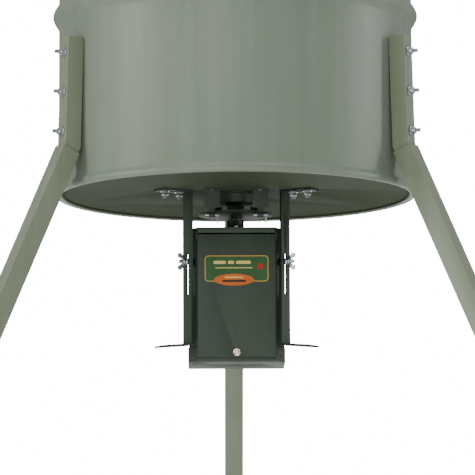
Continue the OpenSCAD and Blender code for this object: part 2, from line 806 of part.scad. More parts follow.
// A smooth curve through the route's points
function curve(a, b, c, d, u) =
    (2 * b + (c - a) * u + (2 * a - 5 * b + 4 * c - d) * u * u + (3 * b - a - 3 * c + d) * u * u * u) / 2;
function smooth(p) = concat(
    [for (i = [0:len(p) - 2], k = [0:lead_steps - 1])
        curve(along(p, i - 1), p[i], p[i + 1], along(p, i + 2), k / lead_steps)],
    [p[len(p) - 1]]);

// A round lead swept along a route, its rings carried on without twisting
module lead(route) {
    path = smooth(route);
    last = len(path) - 1;
    tangents = [for (i = [0:last]) unit(along(path, i + 1) - along(path, i - 1))];
    first = unit(cross(tangents[0], [0.3, 1, 0.2]));
    normals = [for (i = 0, n = first; i <= last;
        i = i + 1, n = i <= last ? unit(n - (n * tangents[i]) * tangents[i]) : n) n];
    rings = [for (i = [0:last], k = [0:lead_sides - 1])
        path[i] + lead_d / 2 * (cos(360 * k / lead_sides) * normals[i]
            + sin(360 * k / lead_sides) * cross(tangents[i], normals[i]))];
    sides = [for (i = [0:last - 1], k = [0:lead_sides - 1], half = [0, 1])
        let (q = i * lead_sides, m = (k + 1) % lead_sides)
        half == 0 ? [q + k, q + lead_sides + k, q + m] : [q + m, q + lead_sides + k, q + lead_sides + m]];
    ends = [[for (k = [0:lead_sides - 1]) k], [for (k = [lead_sides - 1:-1:0]) last * lead_sides + k]];
    polyhedron(rings, concat(sides, ends));
}

lead_z = panel_y + 3;

module battery_leads() {
    color("#a03028") at_chime() for (s = [-1, 1]) {
        top = [s * terminal_x, terminal_y - 0.5, battery_top + 8.6];
        lead([top, top + [s * 6, -3, 5], [s * 58, 4, battery_top + 6], [s * 60, lead_z, battery_top - 6],
            [s * 60, lead_z - 2, timer_top - timer_h - 18], [s * 48, timer_face + 12, timer_top - timer_h - 19],
            [s * 30, timer_face + 10, timer_top - timer_h - 10], [s * 26, timer_face + 10, timer_top - timer_h - 0.2]]);
    }
}

module motor_leads() {
    color("#202020") at_chime() for (s = [-1, 1]) {
        low = hood_under - motor_len - 8.6;
        lead([[s * 8, 0, low + 0.8], [s * 10, -3, low - 4], [s * 22, -10, low - 4], [s * 40, lead_z + 1, low - 6],
            [s * 53, lead_z, timer_top - timer_h - 14], [s * 45, timer_face + 15, timer_top - timer_h - 24],
            [s * 16, timer_face + 12, timer_top - timer_h - 14], [s * 10, timer_face + 12, timer_top - timer_h - 0.2]]);
    }
}

module timer_case() {
    color("#2a2c2e") at_chime() difference() {
        box_solid(-timer_w / 2, timer_w / 2, timer_face, panel_y - panel_t - 0.1, timer_top - timer_h, timer_top);
        box_solid(-34, 18, timer_face - 1, timer_face + 2, timer_top - 34, timer_top - 8);
        for (x = button_x) translate([x, timer_face + 5, button_z]) rotate([90, 0, 0])
            cylinder(r = button_r + gap, h = 10);
        translate([switch_x, timer_face + 8, switch_z]) rotate([90, 0, 0]) cylinder(r = switch_ball_r + fit, h = 20);
    }
}

module timer_screen() {
    color("#9fb09a") at_chime()
        box_solid(-33.9, 17.9, timer_face + 0.4, timer_face + 2, timer_top - 33.9, timer_top - 8.1);
}

module timer_button(x) {
    color("#b23a2c") at_chime() translate([x, timer_face + 5 - gap - button_travel, button_z]) rotate([90, 0, 0]) {
        cylinder(r = button_r, h = 5);
        intersection() {
            translate([0, 0, -button_r * 1.2]) sphere(r = button_r * 2.5, $fn = 48);
            cylinder(r = button_r, h = 10);
        }
    }
}

switch_tip = 8;
switch_ball_r = 3.6;

module power_switch() {
    color("silver") at_chime() translate([switch_x, timer_face + 4, switch_z]) {
        sphere(r = switch_ball_r, $fn = 48);
        rotate([90, 0, 0]) cylinder(r = 1.8, h = switch_tip);
        translate([0, -switch_tip, 0]) sphere(r = 2.4, $fn = 32);
    }
}

// ---- Door and lock

door_back = -box_front + door_t;

module door_panel() {
    color("#2c3a2d") at_chime() difference() {
        union() {
            box_solid(-door_w / 2, door_w / 2, -box_front, door_back, door_bottom, door_top);
            for (s = [-1, 1]) {
                translate([s * 34 - 8, hinge_y, hinge_z]) rotate([0, 90, 0]) cylinder(r = knuckle_r, h = 16);
                box_solid(s * 34 - 8, s * 34 + 8, door_back - touch, hinge_y, hinge_z - knuckle_r, hinge_z - 0.6);
                box_solid(s * 46 - 4, s * 46 + 4, door_back - touch, door_back + 1.2, door_bottom + 16, hinge_z - 8);
            }
        }
        translate([-opening_w, hinge_y, hinge_z]) rotate([0, 90, 0])
            cylinder(r = hinge_rod_d / 2 + fit, h = 2 * opening_w);
        translate([0, 0, lock_z]) rotate([90, 0, 0]) cylinder(r = 5, h = 2 * box_front);
    }
}

module door_label() {
    color("#3f6b3f") at_chime() translate([0, -box_front, -label_z]) rotate([90, 0, 0]) linear_extrude(0.3) {
        square([label_w - 12, label_h], center = true);
        square([label_w, label_h - 12], center = true);
        for (x = [-1, 1], y = [-1, 1]) translate([x * (label_w / 2 - 6), y * (label_h / 2 - 6)]) circle(r = 6);
        translate([-4, -label_h / 2 + 1]) scale(1) circle(r = 8);
    }
}

lock_back = shell_front - box_wall - 1.2;
plug_r = 3.2;

module lock_barrel() {
    color("#d8d2c4") at_chime() translate([0, 0, lock_z]) difference() {
        union() {
            radial_rod(box_front + 0.05, box_front + 2.6, 0, lock_r);
            radial_rod(lock_back, box_front + 1, 0, 4.95);
        }
        radial_rod(0, 2 * box_front, 0, plug_r + fit);
    }
}

cam_y = lock_back - 1.8;

module lock_plug() {
    color("#cfc9ba") at_chime() translate([0, 0, lock_z]) difference() {
        radial_rod(cam_y - 1.5, box_front + 3, 0, plug_r);
        box_solid(-0.6, 0.6, -box_front - 4, -box_front - 1, -2.2, 2.2);
    }
}

module lock_cam() {
    color("#a8acac") at_chime() translate([0, 0, lock_z]) difference() {
        union() {
            radial_rod(cam_y, lock_back - 0.3, 0, 4.6);
            box_solid(0, 9.6, -lock_back + 0.3, -cam_y, -3.2, 3.2);
        }
        radial_rod(0, 2 * box_front, 0, plug_r + snug);
    }
}

drum_body();
drum_bottom();
outlet_spout();
spout_rivets();
leg_bracket(left);  // leg_bracket_left
leg_bracket(right);  // leg_bracket_right
leg_bracket(rear);  // leg_bracket_rear
leg_tube(left);  // leg_tube_left
leg_tube(right);  // leg_tube_right
leg_tube(rear);  // leg_tube_rear
leg_foot(left);  // leg_foot_left
leg_foot(right);  // leg_foot_right
leg_foot(rear);  // leg_foot_rear
leg_bolts();
leg_nuts();
hanger_strap(left);  // hanger_strap_left
hanger_strap(right);  // hanger_strap_right
hanger_strap(rear);  // hanger_strap_rear
hanger_bolts();
hanger_nuts();
guard_tabs();
guard_pins();
hitch_clip(-1);  // hitch_clip_left
hitch_clip(1);  // hitch_clip_right
lid_shell();
lid_brackets();
lid_handle();
box_shell();
box_hood();
box_base();
corner_rivets();
hinge_rod();
inner_panel();
clamp_bolts();
jam_nuts();
wing_nut(left);  // wing_nut_left
wing_nut(right);  // wing_nut_right
wing_nut(rear);  // wing_nut_rear
motor_case();
motor_screws();
motor_bush();
motor_shaft();
spinner_hub();
spinner_screw();
spinner_plate();
battery_case();
battery_terminals();
battery_leads();
motor_leads();
timer_case();
timer_screen();
timer_button(button_x[0]);  // timer_button_left
timer_button(button_x[1]);  // timer_button_middle
timer_button(button_x[2]);  // timer_button_right
power_switch();
door_panel();
door_label();
lock_barrel();
lock_plug();
lock_cam();
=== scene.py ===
import bpy
import json
from math import cos, pi, radians, sin
from mathutils import Matrix, Vector


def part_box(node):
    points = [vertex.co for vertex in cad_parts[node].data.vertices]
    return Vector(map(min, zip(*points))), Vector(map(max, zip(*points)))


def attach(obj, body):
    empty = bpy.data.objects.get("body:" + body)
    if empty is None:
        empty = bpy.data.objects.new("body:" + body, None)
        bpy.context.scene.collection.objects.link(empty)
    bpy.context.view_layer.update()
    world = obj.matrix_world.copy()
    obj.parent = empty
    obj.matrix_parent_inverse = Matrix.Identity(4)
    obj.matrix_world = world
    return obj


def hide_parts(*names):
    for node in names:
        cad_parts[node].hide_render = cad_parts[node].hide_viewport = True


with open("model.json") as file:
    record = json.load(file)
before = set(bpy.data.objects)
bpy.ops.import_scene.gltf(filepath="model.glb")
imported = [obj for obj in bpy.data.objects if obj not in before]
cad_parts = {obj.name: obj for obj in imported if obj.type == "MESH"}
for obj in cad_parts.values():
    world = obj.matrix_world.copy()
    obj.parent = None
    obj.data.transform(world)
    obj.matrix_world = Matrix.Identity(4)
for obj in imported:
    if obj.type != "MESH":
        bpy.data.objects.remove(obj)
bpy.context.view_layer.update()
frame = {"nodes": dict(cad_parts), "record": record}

mm = 0.001
nodes = frame["nodes"]
bodyOfNode = {n: body for body, names in frame["record"]["behaviour"]["bodies"].items() for n in names}
slotOfNode = {s["node"]: s["material_slot"] for s in frame["record"]["subparts"]}

# the drum's axis and the chime's plane, which everything hangs from
drumLow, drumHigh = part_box("drum_body")
axisY = (drumLow.y + drumHigh.y) / 2
chimeZ = drumLow.z
print("frame loaded:", len(nodes), "nodes")


def linear(hexColour):
    parts = [int(hexColour[i:i + 2], 16) / 255 for i in (1, 3, 5)]
    return [p / 12.92 if p <= 0.04045 else ((p + 0.055) / 1.055) ** 2.4 for p in parts] + [1.0]


def newMaterial(name):
    material = bpy.data.materials.new(name)
    material.use_nodes = True
    return material


def addNode(material, kind, settings=None, **links):
    node = material.node_tree.nodes.new(kind)
    for key, value in (settings or {}).items():
        if isinstance(key, str) and hasattr(node, key):
            setattr(node, key, value)
        else:
            node.inputs[key].default_value = value
    for key, source in links.items():
        material.node_tree.links.new(source, node.inputs[key.replace("_", " ")])
    return node


def shaderOf(material):
    return material.node_tree.nodes["Principled BSDF"]


def connect(material, source, target):
    material.node_tree.links.new(source, target)


def mixedColour(material, factor, low, high, start=0.0, end=1.0):
    ramp = addNode(material, "ShaderNodeValToRGB", Fac=factor)
    first, last = ramp.color_ramp.elements
    first.color, last.color = linear(low), linear(high)
    first.position, last.position = start, end
    return ramp.outputs["Color"]


def noise(material, place, scale, detail, **settings):
    values = {"Scale": scale, "Detail": detail}
    values.update(settings)
    return addNode(material, "ShaderNodeTexNoise", values, Vector=place).outputs[0]


def bumped(material, height, strength, distance):
    values = {"Strength": strength, "Distance": distance}
    return addNode(material, "ShaderNodeBump", values, Height=height).outputs["Normal"]


def enamelPaint(name, base, shade, roughness, peelSize, dust=0.35):
    # sprayed enamel on sheet steel: a soft sheen, faint orange peel, dust that dulls it in patches
    material = newMaterial(name)
    shader = shaderOf(material)
    place = addNode(material, "ShaderNodeTexCoord").outputs["Object"]
    cloud = noise(material, place, 9.0, 6.0, Roughness=0.6)
    streakPlace = addNode(material, "ShaderNodeMapping", {"Scale": (38, 38, 2.2)}, Vector=place)
    streak = noise(material, streakPlace.outputs[0], 1.0, 4.0)
    peel = noise(material, place, 1 / (peelSize * mm), 2.0)
    blend = addNode(material, "ShaderNodeMath", {"operation": "MULTIPLY", 1: dust})
    connect(material, cloud, blend.inputs[0])
    total = addNode(material, "ShaderNodeMath", {"operation": "MULTIPLY_ADD", 1: 1 - dust})
    connect(material, streak, total.inputs[0])
    connect(material, blend.outputs[0], total.inputs[2])
    colour = mixedColour(material, total.outputs[0], shade, base, 0.3, 0.62)
    connect(material, colour, shader.inputs["Base Color"])
    dull = addNode(material, "ShaderNodeMapRange", {"To Min": roughness - 0.05, "To Max": roughness + 0.09})
    connect(material, cloud, dull.inputs[0])
    connect(material, dull.outputs[0], shader.inputs["Roughness"])
    connect(material, bumped(material, peel, 0.16, 0.0004), shader.inputs["Normal"])
    shader.inputs["IOR"].default_value = 1.5
    return material


def platedSteel(name, base, shade, roughness, grainSize, spangle=0.0):
    # zinc on steel: a metal that breaks up into fine grain, or into leafy spangle on galvanised sheet
    material = newMaterial(name)
    shader = shaderOf(material)
    place = addNode(material, "ShaderNodeTexCoord").outputs["Object"]
    grain = noise(material, place, 1 / (grainSize * mm), 5.0)
    source = grain
    if spangle:
        leaf = addNode(material, "ShaderNodeTexVoronoi", {"Scale": 1 / (spangle * mm)}, Vector=place)
        tone = addNode(material, "ShaderNodeSeparateColor")
        connect(material, leaf.outputs["Color"], tone.inputs[0])
        both = addNode(material, "ShaderNodeMath", {"operation": "MULTIPLY_ADD", 1: 0.45})
        connect(material, tone.outputs[0], both.inputs[0])
        scaled = addNode(material, "ShaderNodeMath", {"operation": "MULTIPLY", 1: 0.55})
        connect(material, grain, scaled.inputs[0])
        connect(material, scaled.outputs[0], both.inputs[2])
        source = both.outputs[0]
    connect(material, mixedColour(material, source, shade, base, 0.25, 0.7), shader.inputs["Base Color"])
    shader.inputs["Metallic"].default_value = 1.0
    rough = addNode(material, "ShaderNodeMapRange", {"To Min": roughness - 0.07, "To Max": roughness + 0.12})
    connect(material, source, rough.inputs[0])
    connect(material, rough.outputs[0], shader.inputs["Roughness"])
    connect(material, bumped(material, grain, 0.12, 0.0002), shader.inputs["Normal"])
    return material


def mouldedPlastic(name, base, shade, roughness, textureSize, strength=0.25, coat=0.0):
    # injection moulded plastic: even colour with a fine spark-eroded texture
    material = newMaterial(name)
    shader = shaderOf(material)
    place = addNode(material, "ShaderNodeTexCoord").outputs["Object"]
    tone = noise(material, place, 40.0, 3.0)
    grain = noise(material, place, 1 / (textureSize * mm), 3.0)
    connect(material, mixedColour(material, tone, shade, base, 0.3, 0.7), shader.inputs["Base Color"])
    connect(material, bumped(material, grain, strength, 0.0002), shader.inputs["Normal"])
    shader.inputs["Roughness"].default_value = roughness
    shader.inputs["Coat Weight"].default_value = coat
    return material


finishes = {
    "drum_paint": enamelPaint("olive drum enamel", "#7f8b7d", "#76826f", 0.42, 3.2),
    "leg_paint": enamelPaint("olive leg enamel", "#828d78", "#78836a", 0.40, 2.6),
    # the drum's underside gets its own much darker olive than the drum paint: painted shade standing in for
    # the shadow under the drum
    "under_paint": enamelPaint("olive underside enamel darkened as painted shade", "#333f22", "#2a351b", 0.8, 3.2),
    "unit_paint": enamelPaint("dark green powder coat", "#324233", "#2b3a2c", 0.52, 1.6),
    "zinc": platedSteel("bright zinc plate", "#d9dde0", "#aeb4b8", 0.26, 1.4),
    "wing_zinc": platedSteel("cast zinc", "#c3ccd6", "#8d97a2", 0.30, 1.8),
    "dark_steel": platedSteel("black oxide steel", "#4c5052", "#2c2f31", 0.36, 1.2),
    "galvanised": platedSteel("galvanised sheet", "#a9aeac", "#7f8583", 0.38, 1.6, spangle=7),
    "motor_steel": platedSteel("plated motor can", "#b9bcbe", "#94989b", 0.30, 1.5),
    "rubber_black": mouldedPlastic("black rubber", "#1b1b1b", "#121212", 0.75, 0.8),
    "battery_plastic": mouldedPlastic("battery ABS", "#3b3f43", "#303438", 0.55, 0.9),
    "brass_terminal": platedSteel("tinned brass", "#d3bb74", "#a98f4c", 0.28, 1.2),
    "red_lead": mouldedPlastic("red PVC", "#a92a20", "#8d1f18", 0.42, 2.0, 0.08),
    "black_lead": mouldedPlastic("black PVC", "#1f1f20", "#161617", 0.42, 2.0, 0.08),
    "timer_plastic": mouldedPlastic("timer ABS", "#2a2d2f", "#212426", 0.5, 0.8),
    "screen_glass": mouldedPlastic("display window", "#9aa88f", "#8f9d85", 0.12, 4.0, 0.02, 0.6),
    "button_plastic": mouldedPlastic("button ABS", "#b4382b", "#9c2c22", 0.33, 1.2, 0.06, 0.2),
    "chrome_bits": platedSteel("chrome plate", "#eceef0", "#cfd3d6", 0.10, 2.5),
    "label_print": mouldedPlastic("green label ink", "#2a5a28", "#245022", 0.6, 2.0, 0.05),
    "lock_metal": platedSteel("nickel plated lock", "#ece4d2", "#c9bfa9", 0.20, 1.6),
}
labelInks = {
    "border": mouldedPlastic("cream label ink", "#dba63a", "#d29c30", 0.6, 2.0, 0.05),
    "badge": mouldedPlastic("orange label ink", "#d86a04", "#cc6000", 0.6, 2.0, 0.05),
    "dot": mouldedPlastic("red label ink", "#c00a00", "#b00600", 0.6, 2.0, 0.05),
    "bar": mouldedPlastic("pale label ink", "#e6cf78", "#dcc56c", 0.6, 2.0, 0.05),
    "dark": mouldedPlastic("dark label ink", "#3a1c08", "#301606", 0.6, 2.0, 0.05),
}
lcdInk = mouldedPlastic("display ink", "#20261f", "#1a201a", 0.3, 4.0, 0.02)
for name, node in nodes.items():
    for materialSlot in node.material_slots:
        materialSlot.material = finishes[slotOfNode[name]]
print("materials made:", len(finishes) + len(labelInks) + 1)


def only(obj):
    bpy.ops.object.select_all(action="DESELECT")
    obj.select_set(True)
    bpy.context.view_layer.objects.active = obj


def finished(obj, name, body, material, replaced=(), smooth=35):
    only(obj)
    obj.name = obj.data.name = name
    bpy.ops.object.transform_apply(location=True, rotation=True, scale=True)
    obj.data.materials.clear()
    obj.data.materials.append(material)
    if smooth:
        bpy.ops.object.shade_smooth_by_angle(angle=radians(smooth))
    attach(obj, body)
    if replaced:
        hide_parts(*replaced)
    return obj


def applied(obj, kind, **settings):
    only(obj)
    modifier = obj.modifiers.new(kind.lower(), kind)
    for key, value in settings.items():
        setattr(modifier, key, value)
    bpy.ops.object.modifier_apply(modifier=modifier.name)


def lathe(rings, segments=48, centre=(0, 0), closeEnds=True):
    # grows a turned shape from a circle, ring by ring; rings are (radius, z) from the first to the last
    r0, z0 = rings[0]
    bpy.ops.object.select_all(action="DESELECT")
    bpy.ops.mesh.primitive_circle_add(vertices=segments, radius=r0, location=(centre[0], centre[1], z0))
    obj = bpy.context.object
    bpy.ops.object.transform_apply(location=True)
    bpy.ops.object.mode_set(mode="EDIT")
    bpy.ops.mesh.select_all(action="SELECT")
    if closeEnds:
        bpy.ops.mesh.edge_face_add()
        bpy.ops.mesh.select_all(action="SELECT")
        bpy.ops.mesh.extrude_region_move(TRANSFORM_OT_translate={"value": (0, 0, rings[1][1] - z0)})
        grow(rings[1][0] / r0, centre, rings[1][1])
        rest = rings[1:]
    else:
        rest = rings
    for (r1, z1), (r2, z2) in zip(rest, rest[1:]):
        if closeEnds:
            bpy.ops.mesh.extrude_region_move(TRANSFORM_OT_translate={"value": (0, 0, z2 - z1)})
        else:
            bpy.ops.mesh.extrude_edges_move(TRANSFORM_OT_translate={"value": (0, 0, z2 - z1)})
        grow(r2 / r1, centre, z2)
    bpy.ops.mesh.select_all(action="SELECT")
    bpy.ops.mesh.normals_make_consistent(inside=False)
    bpy.ops.object.mode_set(mode="OBJECT")
    return obj


def grow(factor, centre, z):
    if abs(factor - 1) > 1e-9:
        bpy.ops.transform.resize(value=(factor, factor, 1), center_override=(centre[0], centre[1], z))


def softCopy(node, width, segments=2, limit=38):
    # a copy of a sheet metal or moulded piece, its edges rounded as bending and trimming leave them
    source = nodes[node]
    obj = bpy.data.objects.new(node, source.data.copy())
    bpy.context.scene.collection.objects.link(obj)
    only(obj)
    bpy.ops.object.mode_set(mode="EDIT")
    bpy.ops.mesh.select_all(action="SELECT")
    bpy.ops.mesh.remove_doubles(threshold=0.000002)
    bpy.ops.mesh.dissolve_limited(angle_limit=radians(0.6))
    bpy.ops.object.mode_set(mode="OBJECT")
    applied(obj, "BEVEL", width=width * mm, segments=segments, limit_method="ANGLE",
            angle_limit=radians(limit), use_clamp_overlap=True, harden_normals=False)
    slotName = slotOfNode[node]
    return finished(obj, camel(node), bodyOfNode[node], finishes[slotName], [node])


def camel(words):
    first, *others = words.split("_")
    return first + "".join(w.capitalize() for w in others)


# drum, bottom and spout
drum = {"segments": 256, "wall": 1.2 * mm, "hoopWidth": 46 * mm, "hoopOut": 9.5 * mm,
        "hoops": (295 * mm, 585 * mm), "hoopSteps": 18, "hoopGap": 4 * mm,
        "edgeRoll": 6.5 * mm, "edgeOut": 6 * mm, "edgeHeight": 17 * mm}
wallR = (drumHigh.x - drumLow.x) / 2 - drum["hoopOut"]


def rollRings(z, upward):
    # the rolled chime or rim, drawn from the wall round to its inner side
    rollR, middleR = drum["edgeRoll"], wallR + drum["edgeOut"] - drum["edgeRoll"]
    start = 60 if upward else -60
    turn = -1 if upward else 1
    return [(middleR + rollR * cos(radians(a)), z + rollR * sin(radians(a)))
            for a in [start + turn * k * 20 for k in range(0, 13)]]


def makeDrum():
    rings = list(reversed(rollRings(chimeZ + drum["edgeRoll"], True)))
    rings.append((wallR, chimeZ + drum["edgeHeight"]))
    for hoopZ in drum["hoops"]:
        for k in range(drum["hoopSteps"] + 1):
            across = k / drum["hoopSteps"] - 0.5
            out = drum["hoopOut"] * (1 + cos(2 * pi * across)) / 2
            rings.append((wallR + out, chimeZ + hoopZ + drum["hoopWidth"] * across))
        rings.append((wallR, chimeZ + hoopZ + drum["hoopWidth"] * 0.5 + drum["hoopGap"]))
    rings.append((wallR, drumHigh.z - drum["edgeHeight"]))
    rings += rollRings(drumHigh.z - drum["edgeRoll"], False)
    obj = lathe(rings, drum["segments"], (0, axisY), closeEnds=False)
    applied(obj, "SOLIDIFY", thickness=drum["wall"], offset=-1)
    finished(obj, "drumShell", "hopper", finishes["drum_paint"], ["drum_body"], smooth=50)


makeDrum()
softCopy("drum_bottom", 1.0)
softCopy("outlet_spout", 0.5)
print("drum made")


# lid and its brackets; the bail handle stays as the design made it
lid = {"segments": 256, "wall": 1.2 * mm, "bead": 2.2 * mm, "ribs": (0.35, 0.62, 0.86), "ribRise": 2.0 * mm,
       "ribWidth": 9 * mm}


def makeLid():
    low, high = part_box("lid_shell")
    outerR = (high.x - low.x) / 2 - lid["bead"] * 0.5
    topZ = high.z - lid["ribRise"]
    rings = [(outerR - 1 * mm, low.z), (outerR + lid["bead"] * 0.45, low.z + 1.4 * mm),
             (outerR, low.z + 4 * mm), (outerR, topZ - 5 * mm), (outerR - 1.4 * mm, topZ - 1.5 * mm),
             (outerR - 5 * mm, topZ)]
    for share in sorted(lid["ribs"], reverse=True):
        middle = outerR * share
        for k in range(9):
            across = 0.5 - k / 8
            rise = lid["ribRise"] * (1 + cos(2 * pi * across)) / 2
            rings.append((middle + lid["ribWidth"] * across, topZ + rise))
    rings.append((4 * mm, topZ))
    obj = lathe(rings, lid["segments"], (0, axisY), closeEnds=False)
    only(obj)
    bpy.ops.object.mode_set(mode="EDIT")
    bpy.ops.mesh.select_all(action="DESELECT")
    bpy.ops.object.mode_set(mode="OBJECT")
    for v in obj.data.vertices:
        v.select = Vector((v.co.x, v.co.y - axisY)).length < 5 * mm
    bpy.ops.object.mode_set(mode="EDIT")
    bpy.ops.mesh.select_mode(type="VERT")
    bpy.ops.mesh.edge_face_add()
    bpy.ops.mesh.select_all(action="SELECT")
    bpy.ops.mesh.normals_make_consistent(inside=False)
    bpy.ops.object.mode_set(mode="OBJECT")
    if max(obj.data.polygons, key=lambda f: f.center.z).normal.z < 0:
        obj.data.flip_normals()
    applied(obj, "SOLIDIFY", thickness=lid["wall"], offset=-1)
    finished(obj, "lidShell", "lid", finishes["drum_paint"], ["lid_shell"], smooth=50)


makeLid()
softCopy("lid_brackets", 0.5)
print("lid made")


# legs and straps: sheet metal and tube from the design, with rounded corners
for side in ("left", "right", "rear"):
    softCopy("leg_bracket_" + side, 1.6, segments=3)
    softCopy("leg_tube_" + side, 1.9, segments=3)
    softCopy("leg_foot_" + side, 1.0)
    softCopy("hanger_strap_" + side, 0.6)
print("legs and straps made")


# bolts with threads, and nuts with chamfered corners
thread = {"pitch": 1.27 * mm, "depth": 0.45 * mm, "segments": 20}


def turned(obj, angle, radius, z, tilt=0):
    # takes a piece made on the axis, nose up, to a place and direction round the drum
    matrix = (Matrix.Translation((0, axisY, 0)) @ Matrix.Rotation(radians(angle), 4, "Z")
              @ Matrix.Translation((0, -radius, z)) @ Matrix.Rotation(radians(90 - tilt), 4, "X"))
    obj.data.transform(matrix)
    obj.data.update()
    return obj


def threadedRod(radius, length):
    rings, z = [(radius - thread["depth"], 0)], 0
    while z + thread["pitch"] < length:
        rings += [(radius, z + thread["pitch"] * 0.5), (radius - thread["depth"], z + thread["pitch"])]
        z += thread["pitch"]
    rings.append((radius - thread["depth"] * 2, length))
    return lathe(rings, thread["segments"])


def hexNut(flats, height, bore):
    # a hexagon whose corners are cut by a turned chamfer on both faces
    corner = flats / 2 / cos(pi / 6)
    nut = lathe([(corner, 0), (corner, height)], 6)
    applied(nut, "BEVEL", width=0.25 * mm, segments=2, limit_method="ANGLE", angle_limit=radians(30))
    cone = lathe([(flats * 0.49, 0), (corner * 1.02, height * 0.16), (corner * 1.02, height * 0.84),
                  (flats * 0.49, height)], 48)
    applied(nut, "BOOLEAN", operation="INTERSECT", object=cone, solver="EXACT")
    bpy.data.objects.remove(cone)
    hole = lathe([(bore, -height), (bore, 2 * height)], 24)
    applied(nut, "BOOLEAN", operation="DIFFERENCE", object=hole, solver="EXACT")
    bpy.data.objects.remove(hole)
    return nut


def copyOf(obj):
    twin = bpy.data.objects.new(obj.name, obj.data.copy())
    bpy.context.scene.collection.objects.link(twin)
    return twin


def joined(parts):
    bpy.ops.object.select_all(action="DESELECT")
    for p in parts:
        p.select_set(True)
    bpy.context.view_layer.objects.active = parts[0]
    bpy.ops.object.join()
    return bpy.context.object


legHardware = {"boltZ": (212 * mm, 148 * mm, 84 * mm), "boltR": 3.15 * mm, "boltOut": 15 * mm,
               "nutFlats": 11.1 * mm, "nutHeight": 5.4 * mm, "washerR": 8 * mm, "washerT": 1.4 * mm,
               "lean": 1.6, "leanTop": 236 * mm, "gap": 0.3 * mm, "bracket": 27 * mm}
hangerHardware = {"reaches": (132 * mm, 106 * mm), "boltR": 3.15 * mm, "boltOut": 11 * mm, "bore": 3.12 * mm,
                  "nutFlats": 11.1 * mm, "nutHeight": 5.4 * mm, "washerR": 8 * mm, "washerT": 1.2 * mm}
directions = {"left": -60, "right": 60, "rear": 180}


def legFace(z):
    # how far out the leg bracket's outer face stands at a height above the chime
    h = legHardware
    return wallR + h["gap"] + (h["leanTop"] - z) * sin(radians(h["lean"])) + h["bracket"]


def makeLegHardware():
    h = legHardware
    nut = hexNut(h["nutFlats"], h["nutHeight"], h["boltR"] * 0.98)
    washer = lathe([(h["washerR"] * 0.97, 0), (h["washerR"], 0.3 * mm), (h["washerR"], h["washerT"]),
                    (h["washerR"] * 0.95, h["washerT"] + 0.2 * mm)], 36)
    rod = threadedRod(h["boltR"], h["boltOut"])
    nuts, bolts = [], []
    for angle in directions.values():
        for z in h["boltZ"]:
            face = legFace(z)
            nuts.append(turned(copyOf(nut), angle, face + 2.2 * mm, chimeZ + z))
            nuts.append(turned(copyOf(washer), angle, face + 0.5 * mm, chimeZ + z))
            bolts.append(turned(copyOf(rod), angle, face + 1 * mm, chimeZ + z))
    for spare in (nut, washer, rod):
        bpy.data.objects.remove(spare)
    finished(joined(nuts), "legNutsAndWashers", "hopper", finishes["zinc"], ["leg_nuts"])
    finished(joined(bolts), "legBoltThreads", "hopper", finishes["zinc"])


makeLegHardware()


def makeHangerHardware():
    # the bolts' threaded ends, nuts and washers under the drum, on each strap's upper flange
    h = hangerHardware
    low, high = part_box("hanger_nuts")
    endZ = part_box("hanger_bolts")[0].z
    nut = hexNut(h["nutFlats"], h["nutHeight"], h["bore"])
    washer = lathe([(h["washerR"] - 0.25 * mm, 0), (h["washerR"], 0.25 * mm), (h["washerR"], 1 * mm),
                    (h["washerR"] - 0.25 * mm, h["washerT"])], 36)
    rod = threadedRod(h["boltR"], h["boltOut"])
    groups = {"nuts": [], "ends": []}
    for angle in directions.values():
        for reach in h["reaches"]:
            place = (Matrix.Translation((0, axisY, 0)) @ Matrix.Rotation(radians(angle), 4, "Z")
                     @ Matrix.Translation((0, -reach, 0)))
            washerZ = high.z - h["washerT"]
            for piece, z, group in ((nut, low.z, "nuts"), (washer, washerZ, "nuts"), (rod, endZ, "ends")):
                twin = copyOf(piece)
                twin.data.transform(place @ Matrix.Translation((0, 0, z)))
                groups[group].append(twin)
    for spare in (nut, washer, rod):
        bpy.data.objects.remove(spare)
    finished(joined(groups["nuts"]), "hangerNutsAndWashers", "hopper", finishes["zinc"],
             ["hanger_nuts"])
    finished(joined(groups["ends"]), "hangerBoltThreads", "hopper", finishes["zinc"])


makeHangerHardware()
print("fasteners made")


# clamp bolts with wing nuts
wing = {"hubBase": 6.4 * mm, "hubTop": 5.4 * mm, "hubHeight": 8 * mm, "bore": 3.3 * mm, "seat": 91.8 * mm,
        "earR": 4.1 * mm, "earT": 3.0 * mm, "earOut": 9.8 * mm, "earUp": 13.0 * mm, "webR": 3.6 * mm,
        "webFoot": (3.6 * mm, 4.2 * mm), "voxel": 0.36 * mm, "rodR": 3.12 * mm, "rodStart": 90 * mm}


